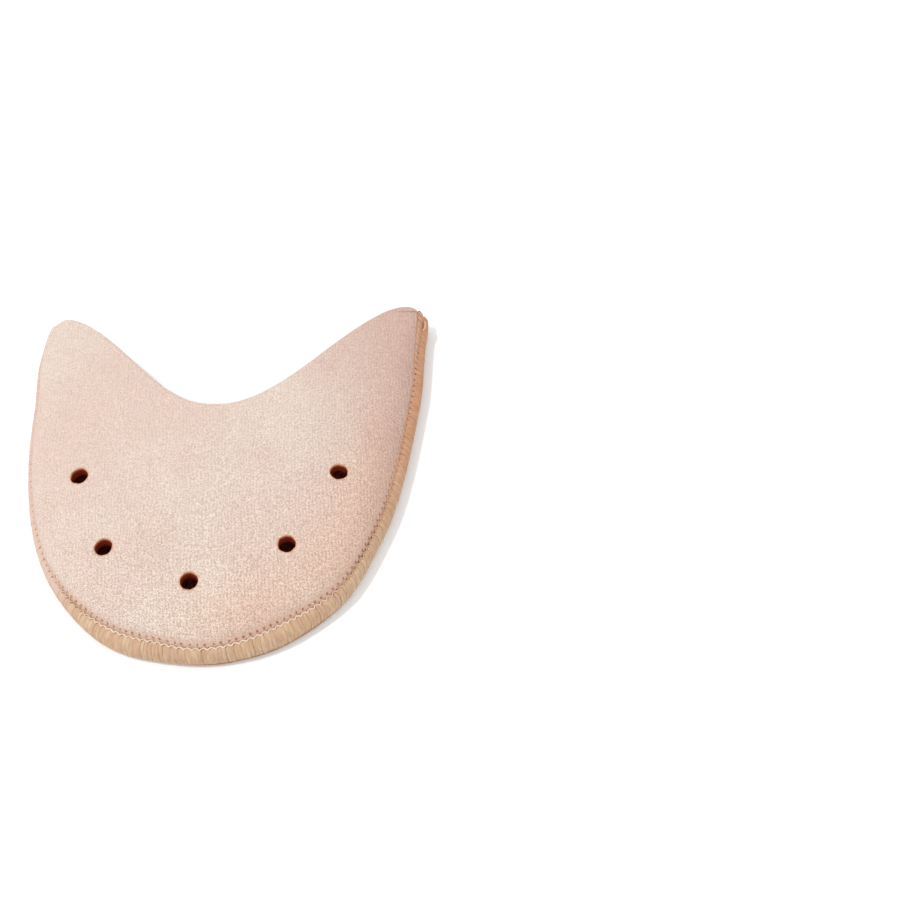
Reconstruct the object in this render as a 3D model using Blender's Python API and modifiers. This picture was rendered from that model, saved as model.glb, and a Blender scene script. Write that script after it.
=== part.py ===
"""Ballet toe pad: a soft pouch that covers the toes inside a pointe shoe.

Two padded knit panels of the same plan lie one on the other. Their curved edge is closed by an
overlocked band of thread, and their notched edge is left open as the mouth where the toes go in.
The pad lies on its lower panel. +X is to the right, the toe points to -Y, the mouth opens to +Y
and +Z is up. The origin is the middle of the pad's box, on the surface that the pad lies on.
"""

import math

import bmesh
import bpy
import numpy as np

MM = 0.001

# Plan of the pad, measured outside the edging
WIDTH = 95.0 * MM            # between the sides, where they stop widening
LENGTH = 91.6 * MM           # from the toe to the ear tips
WIDEST_FROM_TOE = 93.4 * MM  # from the toe to the line where the sides would stop widening
SIDE_POWER = 2.52            # power of the superellipse that the toe and the sides follow
NOTCH_DEPTH = 31.0 * MM      # from the ear tips down to the lowest point of the mouth's edge
NOTCH_HALF_WIDTH = 46.8 * MM # from the middle of the mouth to where its edge levels off
LEAN = 6.4 * MM              # how far the ears are swept towards +X, as the pad lies
EAR_SIDE_ROUND = 4.0 * MM    # length that the ear's rounded corner takes off the side
EAR_MOUTH_ROUND = 6.0 * MM   # length that the ear's rounded corner takes off the mouth's edge

# Padded walls
PANEL_WALL = 2.6 * MM        # a panel away from its edge
EDGE_WALL = 2.2 * MM         # a panel squeezed under the stitches
EDGE_BEVEL = 0.3 * MM        # soft corners of a panel's cut edge
SQUEEZE_LENGTH = 4.0 * MM    # distance from the stitches over which a wall swells to its full thickness

# Overlocked edging
BAND_WALL = 0.4 * MM         # thickness of the layer of threads
BAND_REACH = 1.7 * MM        # how far the threads reach in over the panels
BAND_POWER = 2.6             # power of the superellipse that the edging's section follows
GAP = 0.3 * MM               # clearance between pieces that lie on each other

# Height of the pad
ROLL_RISE = 5.2 * MM         # quick rise of the upper panel beside the stitches
ROLL_LENGTH = 1.7 * MM
DOME_RISE = 4.4 * MM         # slow rise of the upper panel towards its middle
DOME_LENGTH = 28.0 * MM
MOUTH_DROOP = 0.5 * MM       # how far the upper panel's free edge sinks
MOUTH_DROOP_LENGTH = 7.0 * MM
LOWER_ROLL = 3.0 * MM        # width of the strip over which the lower panel lifts to the stitches

# Vent holes in the upper panel: across as a share of half the width, along as a share of the
# length from the toe, before the ears are swept
VENT_DIAMETER = 4.1 * MM
VENTS = [
    {"name": "left_upper", "across": -0.621, "along": 0.470},
    {"name": "right_upper", "across": 0.607, "along": 0.440},
    {"name": "left_lower", "across": -0.458, "along": 0.262},
    {"name": "right_lower", "across": 0.379, "along": 0.241},
    {"name": "toe", "across": -0.056, "along": 0.157},
]

# The two rounded ear corners differ a little: shares of EAR_SIDE_ROUND and EAR_MOUTH_ROUND
EARS = {
    "left": {"side": 1.10, "mouth": 1.15},
    "right": {"side": 0.90, "mouth": 0.85},
}

# Mesh density
COLUMNS = 64                 # along the stitched edge
UPPER_ROWS = 18              # from the stitched edge to the mouth
LOWER_ROWS = 9
BAND_COLUMNS = 84
BAND_ROWS = 6
VENT_SIDES = 20
SAMPLES = 500                # points of a finely drawn curve
TRIAL_ROWS = 60              # places tried along a column to find where the threads let go
SECOND_ROW_LIMIT = 0.6       # most of a short column that the strip under the threads may take
ROW_CROWDING = 2.0           # power that draws the rows towards the stitched edge

# Sizes that follow from the ones above
BAND_HEIGHT = 2 * (BAND_WALL + EDGE_WALL) + 3 * GAP
SETBACK = BAND_WALL + GAP + EDGE_BEVEL
LEVEL_STRIP = BAND_REACH + GAP
UPPER_EDGE_Z = BAND_HEIGHT - BAND_WALL - GAP
LOWER_EDGE_Z = BAND_WALL + GAP
EAR_TIP_Y = LENGTH - WIDEST_FROM_TOE

FABRIC_COLOUR = (0.82, 0.62, 0.52, 1.0)
LINING_COLOUR = (0.74, 0.55, 0.46, 1.0)
THREAD_COLOUR = (0.70, 0.46, 0.29, 1.0)


def smooth_step(x):
    x = np.clip(x, 0.0, 1.0)
    return x * x * (3.0 - 2.0 * x)


def arc_lengths(points):
    steps = np.linalg.norm(np.diff(points, axis=0), axis=1)
    return np.concatenate([[0.0], np.cumsum(steps)])


def along(points, shares):
    """Points at the given shares of a polyline's length."""
    lengths = arc_lengths(points)
    at = shares * lengths[-1]
    return np.stack([np.interp(at, lengths, points[:, k]) for k in range(2)], axis=-1)


def outward(points):
    """Unit normals of a polyline that runs anticlockwise round the pad, seen from above."""
    tangent = np.gradient(points, axis=0)
    tangent /= np.linalg.norm(tangent, axis=1)[:, None]
    return np.stack([tangent[:, 1], -tangent[:, 0]], axis=1)


def distance_to(points, line):
    """Shortest distance from each point to a finely drawn line."""
    return np.array([np.min(np.hypot(line[:, 0] - x, line[:, 1] - y)) for x, y in points])


def side_curve():
    """Stitched edge from the left ear round the toe to the right ear, up to the rounded corners."""
    left_y = EAR_TIP_Y - EAR_SIDE_ROUND * EARS["left"]["side"]
    right_y = EAR_TIP_Y - EAR_SIDE_ROUND * EARS["right"]["side"]
    # The angle runs from the toe, so that points crowd where the curve turns
    left = angle_at(left_y)
    right = angle_at(right_y)
    angle = np.linspace(-left, right, 2 * SAMPLES)
    sine = np.abs(np.sin(angle)) ** (2.0 / SIDE_POWER)
    cosine = np.abs(np.cos(angle)) ** (2.0 / SIDE_POWER)
    x = WIDTH / 2 * np.sign(np.sin(angle)) * sine
    y = -WIDEST_FROM_TOE * np.sign(np.cos(angle)) * cosine
    return np.stack([x, y], axis=1)


def angle_at(y):
    """Superellipse angle, counted from the toe, at which the stitched edge reaches y."""
    share = min(abs(y) / WIDEST_FROM_TOE, 1.0) ** (SIDE_POWER / 2)
    return math.pi / 2 + math.copysign(math.asin(share), y)


def mouth_y(x):
    """Free edge of the panels: a cosine notch that levels off at the ears."""
    share = np.clip(np.abs(x) / NOTCH_HALF_WIDTH, 0.0, 1.0)
    return EAR_TIP_Y - NOTCH_DEPTH * (1.0 + np.cos(math.pi * share)) / 2


def corner(start, start_way, end, end_way):
    """Rounded ear corner: a parabola from start to end. Both ways point at the sharp corner."""
    matrix = np.stack([start_way, -end_way], axis=1)
    reach = np.linalg.solve(matrix, end - start)
    peak = start + reach[0] * start_way
    t = np.linspace(0.0, 1.0, SAMPLES // 4)[:, None]
    return (1 - t) ** 2 * start + 2 * t * (1 - t) * peak + t ** 2 * end


def way(first, second):
    step = second - first
    return step / np.linalg.norm(step)


def swept(points):
    """The plan with its ears swept sideways, as the pad lies."""
    share = (points[:, 1] + WIDEST_FROM_TOE) / LENGTH
    return np.stack([points[:, 0] + LEAN * share ** 2, points[:, 1]], axis=1)


def plain_plan():
    """The stitched edge, the mouth's edge and the ends that join them, with the ears not yet swept.

    The widest line is y = 0. Each ear corner is split at its middle: the threads cover the half
    next to the side, and the other half is an end of the panels.
    """
    side = side_curve()
    right_x = side[-1, 0] - EAR_MOUTH_ROUND * EARS["right"]["mouth"]
    left_x = side[0, 0] + EAR_MOUTH_ROUND * EARS["left"]["mouth"]
    x = np.linspace(left_x, right_x, SAMPLES)
    mouth = np.stack([x, mouth_y(x)], axis=1)
    right = corner(side[-1], way(side[-2], side[-1]), mouth[-1], way(mouth[-2], mouth[-1]))
    left = corner(side[0], way(side[1], side[0]), mouth[0], way(mouth[1], mouth[0]))
    middle = len(right) // 2
    return {
        "stitched": np.concatenate([left[middle:0:-1], side, right[1:middle + 1]]),
        "mouth": mouth,
        "left_end": left[middle:],
        "right_end": right[middle:],
    }


def middle_of_box(curves):
    points = np.concatenate([swept(curve) for curve in curves.values()])
    return (points.min(axis=0) + points.max(axis=0)) / 2


PLAIN_PLAN = plain_plan()
MIDDLE = middle_of_box(PLAIN_PLAN)


def placed(points):
    """Plan points in the part's frame: swept, and counted from the middle of the pad's box."""
    return swept(points) - MIDDLE


PLAN = {name: placed(curve) for name, curve in PLAIN_PLAN.items()}


def crowded(count):
    """Shares from 0 to 1 that lie closer together near both ends, for the tight ear corners."""
    even = np.linspace(0.0, 1.0, count + 1)
    return 0.4 * even + 0.6 * (1.0 - np.cos(math.pi * even)) / 2


def panel_edges():
    """Boundary curves of a panel: its stitched edge lies inside the band of threads."""
    stitched = PLAN["stitched"]
    inner = stitched - outward(stitched) * SETBACK
    ends = []
    for name, last in (("left_end", inner[0]), ("right_end", inner[-1])):
        points = PLAN[name]
        fade = 1.0 - smooth_step(np.linspace(0.0, 1.0, len(points)))
        ends.append(points + (last - points[0]) * fade[:, None])
    return inner, PLAN["mouth"], ends[0], ends[1]


def patch(u, v):
    """Plan positions inside a panel's four edges, for each column share u and its row shares v."""
    stitched, mouth, left, right = panel_edges()
    near = along(stitched, u)[:, None]
    far = along(mouth, u)[:, None]
    start = along(left, v)
    finish = along(right, v)
    u = u[:, None, None]
    v = v[:, :, None]
    ruled = (1 - v) * near + v * far
    ended = (1 - u) * start + u * finish
    flat = (1 - u) * ((1 - v) * near[0] + v * far[0]) + u * ((1 - v) * near[-1] + v * far[-1])
    return ruled + ended - flat


def panel_points(rows):
    """Plan positions of a panel's grid, from the stitched edge (row 0) to the mouth (last row).

    The second row lies where the threads let go of the panel.
    """
    u = crowded(COLUMNS)
    trial = np.tile(np.linspace(0.0, 1.0, TRIAL_ROWS), (len(u), 1))
    depth = distance_to(patch(u, trial).reshape(-1, 2), PLAN["stitched"]).reshape(trial.shape)
    second = [np.interp(LEVEL_STRIP, np.maximum.accumulate(d), t) for d, t in zip(depth, trial)]
    second = np.minimum(second, SECOND_ROW_LIMIT)[:, None]
    later = np.linspace(0.0, 1.0, rows) ** ROW_CROWDING
    return patch(u, np.concatenate([0 * second, second + (1.0 - second) * later], axis=1))


def upper_height(points):
    """Outer face of the upper panel: level under the threads, a quick roll, then a slow dome."""
    inside = np.clip(distance_to(points, PLAN["stitched"]) - LEVEL_STRIP, 0.0, None)
    roll = ROLL_RISE * (1.0 - np.exp(-inside / ROLL_LENGTH))
    dome = DOME_RISE * (1.0 - np.exp(-inside / DOME_LENGTH))
    from_mouth = distance_to(points, PLAN["mouth"])
    droop = MOUTH_DROOP * np.exp(-((from_mouth / MOUTH_DROOP_LENGTH) ** 2))
    droop *= 1.0 - np.exp(-inside / ROLL_LENGTH)
    return UPPER_EDGE_Z + roll + dome - droop


def lower_height(points):
    """Underside of the lower panel: flat on the surface, lifted by the threads at its edge."""
    inside = distance_to(points, PLAN["stitched"]) - LEVEL_STRIP
    return LOWER_EDGE_Z * (1.0 - smooth_step(inside / LOWER_ROLL))


def fullness(points):
    """0 where the stitches squeeze a panel and 1 where it has its whole thickness."""
    inside = distance_to(points, PLAN["stitched"]) - LEVEL_STRIP
    return smooth_step(inside / SQUEEZE_LENGTH)


def material(name, colour, roughness):
    made = bpy.data.materials.new(name)
    made.use_nodes = True
    shader = made.node_tree.nodes["Principled BSDF"]
    shader.inputs["Base Color"].default_value = colour
    shader.inputs["Roughness"].default_value = roughness
    shader.inputs["Metallic"].default_value = 0.0
    made.diffuse_color = colour
    return made


def collection(name):
    made = bpy.data.collections.new(name)
    bpy.context.scene.collection.children.link(made)
    return made


def grid_object(name, columns, rows, place, group, finish):
    """An open sheet: a grid whose vertices are placed by their column and row."""
    mesh = bpy.data.meshes.new(name)
    grid = bmesh.new()
    bmesh.ops.create_grid(grid, x_segments=columns, y_segments=rows, size=1.0)
    for vertex in grid.verts:
        column = round((vertex.co.x + 1.0) / 2.0 * columns)
        row = round((vertex.co.y + 1.0) / 2.0 * rows)
        vertex.co = place[column, row]
    grid.to_mesh(mesh)
    grid.free()
    mesh.shade_smooth()
    mesh.materials.append(finish)
    made = bpy.data.objects.new(name, mesh)
    group.objects.link(made)
    return made


def add_wall(sheet, thickness, side):
    wall = sheet.modifiers.new("wall", "SOLIDIFY")
    wall.thickness = thickness
    wall.offset = side
    wall.use_even_offset = True
    wall.use_quality_normals = True
    return wall


def add_soft_edges(sheet):
    edges = sheet.modifiers.new("soft_edges", "BEVEL")
    edges.width = EDGE_BEVEL
    edges.segments = 1
    edges.limit_method = "ANGLE"
    edges.angle_limit = math.radians(60.0)


def panel(name, rows, height, side, group, finish):
    """A padded panel: a shaped sheet that is thinner where the stitches squeeze it."""
    spots = panel_points(rows)
    flat = spots.reshape(-1, 2)
    z = height(flat).reshape(spots.shape[:2])
    place = np.dstack([spots, z])
    sheet = grid_object(name, COLUMNS, rows, place, group, finish)
    full = sheet.vertex_groups.new(name="full_wall")
    flat_now = np.array([vertex.co[:2] for vertex in sheet.data.vertices])
    for index, weight in enumerate(fullness(flat_now)):
        full.add([index], float(weight), "REPLACE")
    wall = add_wall(sheet, PANEL_WALL, side)
    wall.vertex_group = "full_wall"
    wall.thickness_vertex_group = EDGE_WALL / PANEL_WALL
    add_soft_edges(sheet)
    return sheet


def cut_vents(upper, cutters):
    """Five punched holes that let air through the upper panel."""
    for vent in VENTS:
        spot = [vent["across"] * WIDTH / 2, vent["along"] * LENGTH - WIDEST_FROM_TOE]
        x, y = placed(np.array([spot]))[0]
        bpy.ops.mesh.primitive_cylinder_add(
            vertices=VENT_SIDES,
            radius=VENT_DIAMETER / 2,
            depth=4 * (ROLL_RISE + DOME_RISE),
            location=(x, y, UPPER_EDGE_Z + ROLL_RISE + DOME_RISE),
        )
        punch = bpy.context.object
        punch.name = "punch_" + vent["name"]
        for owner in list(punch.users_collection):
            owner.objects.unlink(punch)
        cutters.objects.link(punch)
        punch.hide_render = True
        punch.display_type = "WIRE"
        cut = upper.modifiers.new("vent_" + vent["name"], "BOOLEAN")
        cut.operation = "DIFFERENCE"
        cut.solver = "EXACT"
        cut.object = punch


def edging(group, finish):
    """Overlocked edging: a band of threads with a C section that wraps both panels' edges."""
    path = along(PLAN["stitched"], crowded(BAND_COLUMNS))
    normal = outward(path)
    place = np.zeros((BAND_COLUMNS + 1, BAND_ROWS + 1, 3))
    for row in range(BAND_ROWS + 1):
        turn = math.pi * (row / BAND_ROWS - 0.5)
        inset = BAND_REACH * (1.0 - abs(math.cos(turn)) ** (2.0 / BAND_POWER))
        rise = math.copysign(abs(math.sin(turn)) ** (2.0 / BAND_POWER), turn)
        place[:, row, :2] = path - normal * inset
        place[:, row, 2] = BAND_HEIGHT / 2 * (1.0 + rise)
    band = grid_object("overlock_edging", BAND_COLUMNS, BAND_ROWS, place, group, finish)
    add_wall(band, BAND_WALL, -1.0)
    return band


def build():
    for old in list(bpy.data.objects):
        bpy.data.objects.remove(old, do_unlink=True)
    pad = collection("ballet_toe_pad")
    cutters = collection("cutters")
    fabric = material("knit_fabric", FABRIC_COLOUR, 0.9)
    lining = material("lower_fabric", LINING_COLOUR, 0.9)
    thread = material("edging_thread", THREAD_COLOUR, 0.75)
    upper = panel("top_panel", UPPER_ROWS, upper_height, -1.0, pad, fabric)
    cut_vents(upper, cutters)
    panel("bottom_panel", LOWER_ROWS, lower_height, 1.0, pad, lining)
    edging(pad, thread)


build()
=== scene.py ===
"""Looks of a ballet toe pad: two padded knit panels, overlocked together round the toe.

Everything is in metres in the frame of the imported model: +X to the right, the toe to -Y, the mouth
to +Y, +Z up, and the origin on the surface that the pad lies on, under the middle of its box.
"""

import math

import bpy
import numpy as np
from mathutils import Matrix, Vector


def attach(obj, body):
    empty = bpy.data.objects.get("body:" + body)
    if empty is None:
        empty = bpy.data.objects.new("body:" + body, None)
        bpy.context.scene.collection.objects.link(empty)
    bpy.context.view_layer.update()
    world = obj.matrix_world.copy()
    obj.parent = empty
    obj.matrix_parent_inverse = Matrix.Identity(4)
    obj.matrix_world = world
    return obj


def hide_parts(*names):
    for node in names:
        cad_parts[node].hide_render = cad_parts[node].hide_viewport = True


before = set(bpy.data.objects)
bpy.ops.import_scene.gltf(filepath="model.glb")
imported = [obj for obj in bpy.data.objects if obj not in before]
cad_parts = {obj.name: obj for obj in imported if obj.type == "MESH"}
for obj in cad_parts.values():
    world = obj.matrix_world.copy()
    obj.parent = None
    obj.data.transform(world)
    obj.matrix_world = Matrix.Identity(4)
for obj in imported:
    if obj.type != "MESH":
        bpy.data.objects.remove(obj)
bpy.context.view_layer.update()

MM = 0.001

# Plan of the pad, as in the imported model
WIDTH = 95.0 * MM
LENGTH = 91.6 * MM
WIDEST_FROM_TOE = 93.4 * MM
SIDE_POWER = 2.52
NOTCH_DEPTH = 31.0 * MM
NOTCH_HALF_WIDTH = 46.8 * MM
LEAN = 6.4 * MM
EAR_SIDE_ROUND = 4.0 * MM
EAR_MOUTH_ROUND = 6.0 * MM
EARS = {
    "left": {"side": 1.10, "mouth": 1.15},
    "right": {"side": 0.90, "mouth": 0.85},
}

# Walls and heights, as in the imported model
PANEL_WALL = 2.6 * MM
EDGE_WALL = 2.2 * MM
EDGE_BEVEL = 0.3 * MM
SQUEEZE_LENGTH = 4.0 * MM
BAND_WALL = 0.4 * MM
BAND_REACH = 1.7 * MM
BAND_POWER = 2.6
GAP = 0.3 * MM
ROLL_RISE = 5.2 * MM
ROLL_LENGTH = 1.7 * MM
DOME_RISE = 4.4 * MM
DOME_LENGTH = 28.0 * MM
MOUTH_DROOP = 0.5 * MM
MOUTH_DROOP_LENGTH = 7.0 * MM
LOWER_ROLL = 3.0 * MM
VENT_DIAMETER = 4.1 * MM
VENTS = [
    {"name": "left_upper", "across": -0.621, "along": 0.470},
    {"name": "right_upper", "across": 0.607, "along": 0.440},
    {"name": "left_lower", "across": -0.458, "along": 0.262},
    {"name": "right_lower", "across": 0.379, "along": 0.241},
    {"name": "toe", "across": -0.056, "along": 0.157},
]
BAND_HEIGHT = 2 * (BAND_WALL + EDGE_WALL) + 3 * GAP
SETBACK = BAND_WALL + GAP + EDGE_BEVEL
LEVEL_STRIP = BAND_REACH + GAP
UPPER_EDGE_Z = BAND_HEIGHT - BAND_WALL - GAP
LOWER_EDGE_Z = BAND_WALL + GAP
EAR_TIP_Y = LENGTH - WIDEST_FROM_TOE
SAMPLES = 500

# Stitches of the edging
STITCH = 1.7 * MM            # from one needle hole to the next
NEEDLE_LINE = 2.4 * MM       # needle holes, counted inwards from the outside of the edging
NEEDLE_DENT = 0.25 * MM
DOT_SLOPE = 2.2              # the panel is steep there, so a round hole on it is narrow from above
HOLE_SIZE = 0.17             # mm, radius of a needle hole's dark spot, with up to HOLE_SPREAD more
HOLE_SPREAD = 0.08
HOLE_SHIFT = 0.16            # how far a hole may be off its place, as a share of a stitch
SEAM_START = 1.75 * MM       # where the upper panel starts to bulge up beside the threads
SEAM_GROOVE = 0.35 * MM      # how deep the needle thread draws the panel in
INNER_SETBACK = 1.3 * MM     # how much later the panel's inner face starts to rise
LEG_START = 2.05 * MM        # where a thread leg comes up out of the fabric
LEG_WIDTH = 0.94 * MM
LEG_THICKNESS = 0.24 * MM
LOOPER_LINE = 1.66 * MM
LOOPER_RADIUS = 0.16 * MM
LOOPER_SWING = 0.22 * MM
STRAND_SIDES = 8

# The seam wanders, as sewn by hand. share runs from the left ear round the toe to the right ear,
# fabric is how far the bulge of the upper panel moves inwards, and lip is the edging's inner edge.
SEAM_WANDER = [
    {"share": 0.000, "fabric": -1.7 * MM, "lip": -0.6 * MM},
    {"share": 0.030, "fabric": -1.5 * MM, "lip": -0.5 * MM},
    {"share": 0.080, "fabric": -1.1 * MM, "lip": -0.5 * MM},
    {"share": 0.250, "fabric": -1.0 * MM, "lip": -0.4 * MM},
    {"share": 0.310, "fabric": -0.7 * MM, "lip": -0.4 * MM},
    {"share": 0.360, "fabric": 0.0 * MM, "lip": 0.0 * MM},
    {"share": 0.390, "fabric": 0.7 * MM, "lip": 0.7 * MM},
    {"share": 0.450, "fabric": 0.7 * MM, "lip": 0.7 * MM},
    {"share": 0.490, "fabric": -0.5 * MM, "lip": -0.5 * MM},
    {"share": 0.530, "fabric": 0.0 * MM, "lip": 0.0 * MM},
    {"share": 0.570, "fabric": 0.8 * MM, "lip": 0.8 * MM},
    {"share": 0.610, "fabric": 0.1 * MM, "lip": 0.1 * MM},
    {"share": 0.690, "fabric": -0.7 * MM, "lip": -0.6 * MM},
    {"share": 0.760, "fabric": -0.3 * MM, "lip": -0.1 * MM},
    {"share": 0.820, "fabric": 0.0 * MM, "lip": 0.1 * MM},
    {"share": 0.860, "fabric": 0.1 * MM, "lip": 0.2 * MM},
    {"share": 0.910, "fabric": 0.1 * MM, "lip": 0.3 * MM},
    {"share": 0.950, "fabric": -0.5 * MM, "lip": 0.3 * MM},
    {"share": 1.000, "fabric": -1.1 * MM, "lip": 0.4 * MM},
]

# The outline isn't quite even either: share of the stitched edge, and how far its outside lies in
UNEVEN_EDGE = [
    {"share": 0.00, "inwards": 0.30 * MM},
    {"share": 0.05, "inwards": -0.30 * MM},
    {"share": 0.10, "inwards": 0.95 * MM},
    {"share": 0.15, "inwards": 0.80 * MM},
    {"share": 0.20, "inwards": 0.60 * MM},
    {"share": 0.30, "inwards": 0.05 * MM},
    {"share": 0.36, "inwards": 0.30 * MM},
    {"share": 0.40, "inwards": -0.05 * MM},
    {"share": 0.45, "inwards": 0.30 * MM},
    {"share": 0.50, "inwards": -0.55 * MM},
    {"share": 0.55, "inwards": 0.15 * MM},
    {"share": 0.60, "inwards": 0.55 * MM},
    {"share": 0.65, "inwards": -0.50 * MM},
    {"share": 0.70, "inwards": 0.15 * MM},
    {"share": 0.75, "inwards": -0.10 * MM},
    {"share": 0.80, "inwards": 0.15 * MM},
    {"share": 0.85, "inwards": 0.25 * MM},
    {"share": 0.90, "inwards": 0.00 * MM},
    {"share": 0.95, "inwards": 0.70 * MM},
    {"share": 1.00, "inwards": 0.40 * MM},
]
UNEVEN_REACH = 9.0 * MM       # over which the unevenness dies out inwards
LEFT_EAR_STRETCH = 0.8 * MM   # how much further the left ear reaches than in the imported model
EAR_START_Y = 12 * MM         # the stretch grows from here towards the mouth, over EAR_RAMP_Y
EAR_RAMP_Y = 22 * MM
EAR_START_X = 4 * MM          # and from here to the left, over EAR_RAMP_X
EAR_RAMP_X = 20 * MM

# Soft patches of the knit, a little pinker than the rest or, below 0, creamier
PATCHES = [
    {"x": -12 * MM, "y": 17 * MM, "wide": 10 * MM, "long": 12 * MM, "pink": 0.50},
    {"x": -30 * MM, "y": 12 * MM, "wide": 14 * MM, "long": 20 * MM, "pink": 0.45},
    {"x": 14 * MM, "y": 14 * MM, "wide": 14 * MM, "long": 10 * MM, "pink": -0.50},
    {"x": 38 * MM, "y": 36 * MM, "wide": 12 * MM, "long": 12 * MM, "pink": -0.20},
]

# Mesh density
COLUMNS_PER_STITCH = 4
MIDDLE_ROWS = 36
LOWER_COLUMNS_PER_STITCH = 2

# Camera, at the photo's angle
PHOTO_SIDE = 901             # pixels of the photo's longer side
SENSOR = 36.0
CLIP_START = 10 * MM
FOCAL_PIXELS = 1396.5
CAMERA_AZIMUTH = -3.77
CAMERA_ELEVATION = 55.06
CAMERA_ROLL = -0.1
CAMERA_DISTANCE = 332.0 * MM
LOOK_AT = Vector((50.9 * MM, 7.1 * MM, 0.0))

# Colours of the knit, in linear light
CREAM = [0.745, 0.615, 0.528, 1.0]
PINK = [0.724, 0.561, 0.483, 1.0]
SEAM_PINK = [0.70, 0.455, 0.335, 1.0]
# Painted shade in the needle holes
NEEDLE_HOLE_SHADE = [0.34, 0.100, 0.055, 1.0]
CUT_EDGE = [0.66, 0.30, 0.15, 1.0]
# For each panel: a tint, then painted shade for the pad's inside, dark red, and less dark under the vents
UPPER_KNIT = {
    "tint": [1.0, 1.0, 1.0, 1.0],
    "inside_shade": [0.27, 0.040, 0.022, 1.0],
    "shade_under_vent": [0.34, 0.038, 0.018, 1.0],
}
LOWER_KNIT = {
    "tint": [0.95, 0.93, 0.92, 1.0],
    "inside_shade": [0.46, 0.105, 0.070, 1.0],
    "shade_under_vent": [0.90, 0.12, 0.06, 1.0],
}

# Factors on those colours: painted shade that makes the right side darker and redder, the pile's low
# and high places, and the warmer look beside the stitches at the front
RIGHT_SIDE_SHADE = [0.85, 0.73, 0.72, 1.0]
SHADE = [0.74, 0.67, 0.64, 1.0]
GLINT = [1.20, 1.21, 1.22, 1.0]
FRONT_WARM = [1.01, 0.93, 0.87, 1.0]

# The knit's relief: noise per metre, the wales' step in mm, and each part's share of the height
PILE_NOISE = 3700
TUFT_NOISE = (1700, 1900, 1800)
BEND_NOISE = 90
CLOUD_NOISE = 48
WALE_STEP = 0.74
WALE_BEND = 2.4
PILE_SHARE = 1.5
TUFT_SHARE = 0.3
WALE_SHARE = 0.05
KNIT_BUMP = 0.18 * MM

# Colours of the threads, a factor on their right side, and the pinkish look of the left side
TAN = [0.585, 0.370, 0.235, 1.0]
YELLOW = [0.640, 0.480, 0.315, 1.0]
ROSE = [0.575, 0.370, 0.260, 1.0]
DEEP_TAN = [0.400, 0.225, 0.130, 1.0]
PALE_CREAM = [0.780, 0.625, 0.505, 1.0]
# The edging's core shows only between the strands, and its darker tan is painted shade there
CORE_SHADE_TAN = [0.44, 0.27, 0.16, 1.0]
# The low thread's dark ruddy colour is partly the thread's own and partly painted shadow under the edging
RUDDY_AND_SHADOW = [0.40, 0.19, 0.13, 1.0]
WISP = [0.78, 0.60, 0.46, 1.0]
REAR_TAN = [0.95, 0.69, 0.60, 1.0]
SIDE_PINK = [0.66, 0.485, 0.410, 1.0]
SPECK_NOISE = 2100
HUE_NOISE = 160
THREAD_BUMP = 0.08 * MM

# Paper under the pad, and the light
PAPER = [0.950, 0.974, 0.990, 1.0]
BRIGHT_PAPER = [0.960, 0.984, 0.999, 1.0]
PAPER_NOISE = 30
PAPER_SIZE = 6.0
WORLD_COLOUR = (0.975, 0.992, 1.0, 1.0)
WORLD_STRENGTH = 1.0
KEY_PLACE = (-0.348, -0.066, 0.828)
KEY_SIZE = 0.05
KEY_POWER = 2.6

RANDOM = np.random.default_rng(7)


def smooth_step(x):
    x = np.clip(x, 0.0, 1.0)
    return x * x * (3.0 - 2.0 * x)


def arc_lengths(points):
    steps = np.linalg.norm(np.diff(points, axis=0), axis=1)
    return np.concatenate([[0.0], np.cumsum(steps)])


def along(points, shares):
    lengths = arc_lengths(points)
    at = shares * lengths[-1]
    return np.stack([np.interp(at, lengths, points[:, k]) for k in range(points.shape[1])], axis=-1)


def outward(points):
    tangent = np.gradient(points, axis=0)
    tangent /= np.linalg.norm(tangent, axis=1)[:, None]
    return np.stack([tangent[:, 1], -tangent[:, 0]], axis=1)


def nearest(points, line):
    """Distance from each point to a finely drawn line, and the line's length up to the foot."""
    lengths = arc_lengths(line)
    distance = np.empty(len(points))
    foot = np.empty(len(points))
    chunk = 2000
    for start in range(0, len(points), chunk):
        part = points[start:start + chunk]
        apart = np.hypot(part[:, :1] - line[None, :, 0], part[:, 1:2] - line[None, :, 1])
        index = apart.argmin(axis=1)
        distance[start:start + chunk] = apart[np.arange(len(part)), index]
        foot[start:start + chunk] = lengths[index]
    return distance, foot


def angle_at(y):
    share = min(abs(y) / WIDEST_FROM_TOE, 1.0) ** (SIDE_POWER / 2)
    return math.pi / 2 + math.copysign(math.asin(share), y)


def side_curve():
    left_y = EAR_TIP_Y - EAR_SIDE_ROUND * EARS["left"]["side"]
    right_y = EAR_TIP_Y - EAR_SIDE_ROUND * EARS["right"]["side"]
    angle = np.linspace(-angle_at(left_y), angle_at(right_y), 2 * SAMPLES)
    sine = np.abs(np.sin(angle)) ** (2.0 / SIDE_POWER)
    cosine = np.abs(np.cos(angle)) ** (2.0 / SIDE_POWER)
    x = WIDTH / 2 * np.sign(np.sin(angle)) * sine
    y = -WIDEST_FROM_TOE * np.sign(np.cos(angle)) * cosine
    return np.stack([x, y], axis=1)


def mouth_y(x):
    share = np.clip(np.abs(x) / NOTCH_HALF_WIDTH, 0.0, 1.0)
    return EAR_TIP_Y - NOTCH_DEPTH * (1.0 + np.cos(math.pi * share)) / 2


def corner(start, start_way, end, end_way):
    matrix = np.stack([start_way, -end_way], axis=1)
    reach = np.linalg.solve(matrix, end - start)
    peak = start + reach[0] * start_way
    t = np.linspace(0.0, 1.0, SAMPLES // 4)[:, None]
    return (1 - t) ** 2 * start + 2 * t * (1 - t) * peak + t ** 2 * end


def way(first, second):
    step = second - first
    return step / np.linalg.norm(step)


def swept(points):
    share = (points[:, 1] + WIDEST_FROM_TOE) / LENGTH
    return np.stack([points[:, 0] + LEAN * share ** 2, points[:, 1]], axis=1)


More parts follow.
